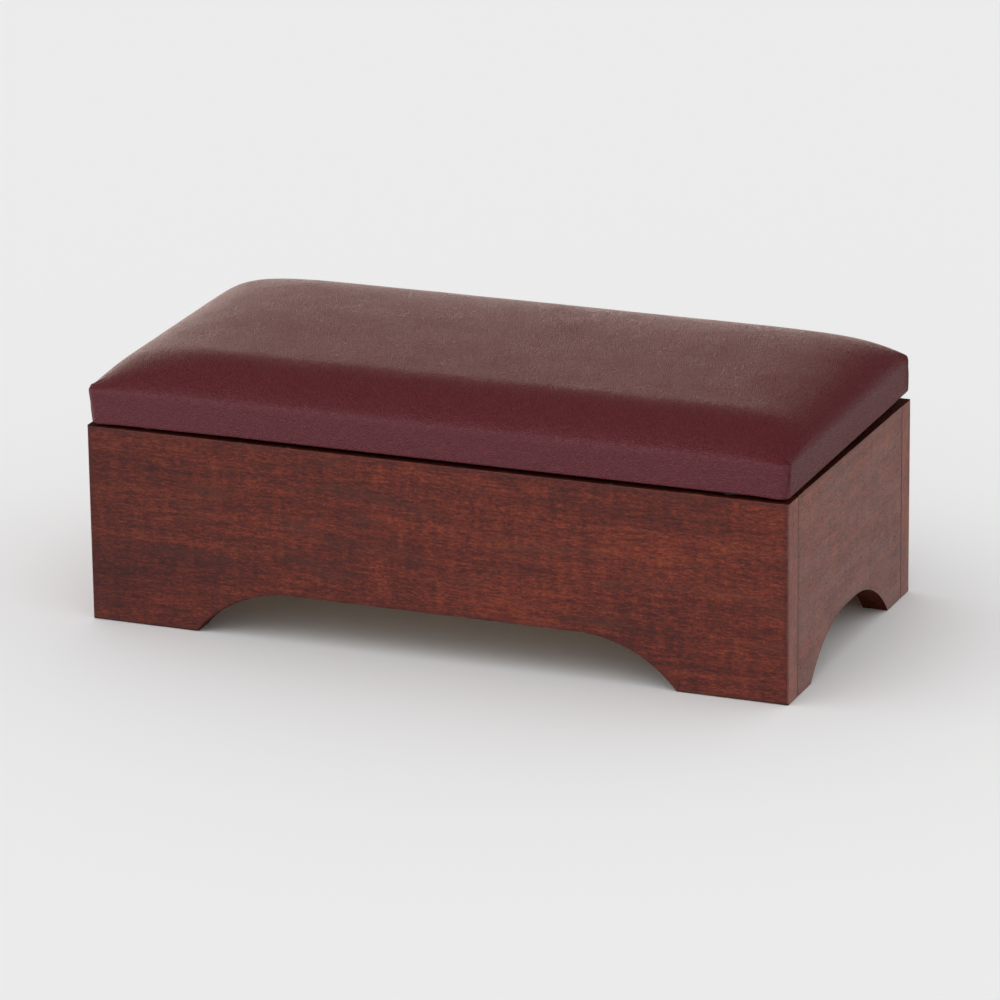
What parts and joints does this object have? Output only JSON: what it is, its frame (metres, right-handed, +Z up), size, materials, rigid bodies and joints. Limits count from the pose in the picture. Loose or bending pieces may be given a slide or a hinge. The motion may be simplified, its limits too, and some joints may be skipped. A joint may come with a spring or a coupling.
{
  "type": "low storage bench",
  "caption": "Low wooden box bench on arched bracket feet, with a padded vinyl lid hinged along the rear edge and a folding stay inside.",
  "frame": {"origin": "on the floor under the middle of the whole bench", "axes": "+X along the length to the right as seen from the front, +Y to the hinge side, +Z up"},
  "size_m": [0.495, 0.2513, 0.1861],
  "materials": {
    "mahogany_stain": "satin",
    "pale_wood": "matte",
    "board_wood": "matte",
    "burgundy_vinyl": "satin",
    "foam": "matte",
    "cambric": "matte",
    "plated_steel": "satin",
    "black_rubber": "matte"
  },
  "bodies": {
    "box": {"back_panel": "mahogany_stain", "front_cleat": "pale_wood", "front_panel": "mahogany_stain", "left_box_leaf_screw_a": "plated_steel", "left_box_leaf_screw_b": "plated_steel", "left_cleat": "pale_wood", "left_front_lower_dowel": "pale_wood", "left_front_upper_dowel": "pale_wood", "left_hinge_box_leaf": "plated_steel", "left_hinge_pin": "plated_steel", "left_lid_bumper": "black_rubber", "left_rear_lower_dowel": "pale_wood", "left_rear_upper_dowel": "pale_wood", "left_side_panel": "mahogany_stain", "rear_cleat": "pale_wood", "right_box_leaf_screw_a": "plated_steel", "right_box_leaf_screw_b": "plated_steel", "right_cleat": "pale_wood", "right_front_lower_dowel": "pale_wood", "right_front_upper_dowel": "pale_wood", "right_hinge_box_leaf": "plated_steel", "right_hinge_pin": "plated_steel", "right_lid_bumper": "black_rubber", "right_rear_lower_dowel": "pale_wood", "right_rear_upper_dowel": "pale_wood", "right_side_panel": "mahogany_stain", "stay_box_bracket": "plated_steel", "stay_box_bracket_screw_a": "plated_steel", "stay_box_bracket_screw_b": "plated_steel", "stay_box_rivet": "plated_steel", "storage_floor": "pale_wood"},
    "lid": {"dust_cover": "cambric", "foam_pad": "foam", "left_hinge_lid_leaf": "plated_steel", "left_lid_leaf_screw_a": "plated_steel", "left_lid_leaf_screw_b": "plated_steel", "lid_board": "board_wood", "right_hinge_lid_leaf": "plated_steel", "right_lid_leaf_screw_a": "plated_steel", "right_lid_leaf_screw_b": "plated_steel", "stay_lid_bracket": "plated_steel", "stay_lid_bracket_screw_a": "plated_steel", "stay_lid_bracket_screw_b": "plated_steel", "stay_lid_rivet": "plated_steel", "vinyl_cover": "burgundy_vinyl"},
    "stay_lower_link": {"stay_lower_link": "plated_steel", "stay_elbow_rivet": "plated_steel"},
    "stay_upper_link": {"stay_upper_link": "plated_steel"}
  },
  "joints": [
    {"name": "lid_hinge", "type": "hinge", "parent": "box", "child": "lid", "pos_m": [0, 0.1229, 0.139], "axis": [-1, 0, 0], "range_deg": [0, 100]},
    {"name": "stay_lower_pivot", "type": "hinge", "parent": "box", "child": "stay_lower_link", "pos_m": [0.2262, 0.0856, 0.073], "axis": [-1, 0, 0], "range_deg": [0, 100]},
    {"name": "stay_elbow", "type": "hinge", "parent": "stay_lower_link", "child": "stay_upper_link", "pos_m": [0.2262, -0.05926, 0.0628], "axis": [1, 0, 0], "range_deg": [0, 100]}
  ],
  "couplings": [
    {"joint": "stay_lower_pivot", "follows": "lid_hinge", "ratio": 1},
    {"joint": "stay_elbow", "follows": "lid_hinge", "ratio": 1}
  ]
}
